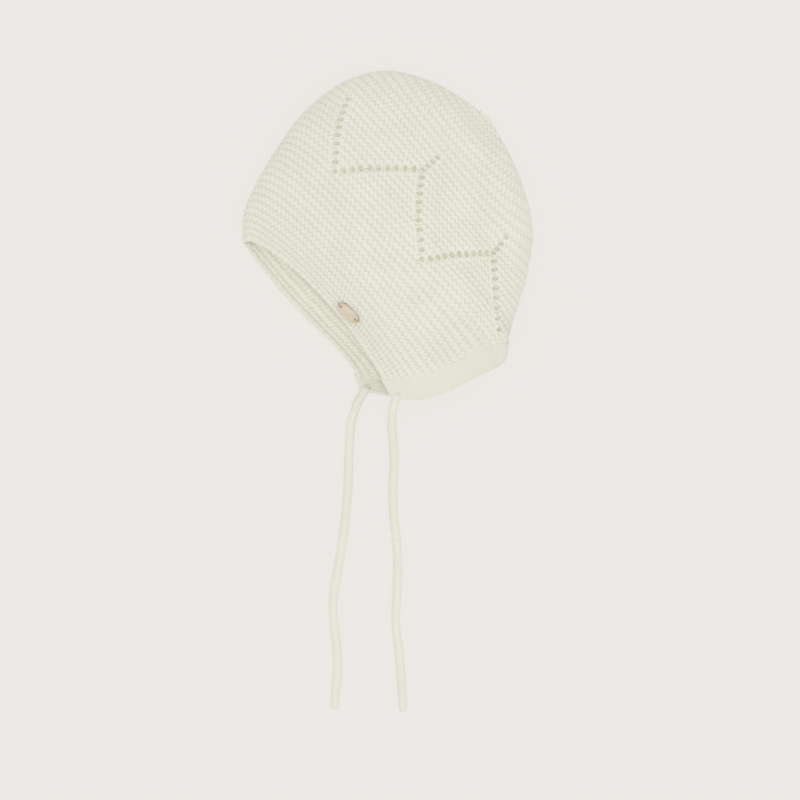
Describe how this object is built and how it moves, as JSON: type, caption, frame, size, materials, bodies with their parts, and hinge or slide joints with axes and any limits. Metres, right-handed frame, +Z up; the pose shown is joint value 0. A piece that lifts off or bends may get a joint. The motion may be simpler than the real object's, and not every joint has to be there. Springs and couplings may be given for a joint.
{
  "type": "baby bonnet",
  "caption": "Knitted baby bonnet lying on its side, with a hollow head space open at face and neck, a pierced zigzag, a neck band, two loose ties and a small blank oval tag.",
  "frame": {"origin": "on the surface that the bonnet lies on, below the middle of the bonnet's bounding box, its ties left out", "axes": "+Z up, away from the surface; +Y from the nape towards the top of the head, the way the ties point back from; +X from the face opening towards the back of the head"},
  "size_m": [0.1738, 0.3854, 0.0501],
  "materials": {
    "knit": "soft matt knitted cotton, off-white",
    "tag_metal": "pale gold, satin",
    "thread": "matt sewing thread"
  },
  "bodies": {
    "root": {"knit_body": "knit", "neck_band": "knit", "tie_near": "knit", "tie_far": "knit", "tag": "tag_metal", "tag_stitch_1": "thread", "tag_stitch_2": "thread"}
  },
  "joints": []
}
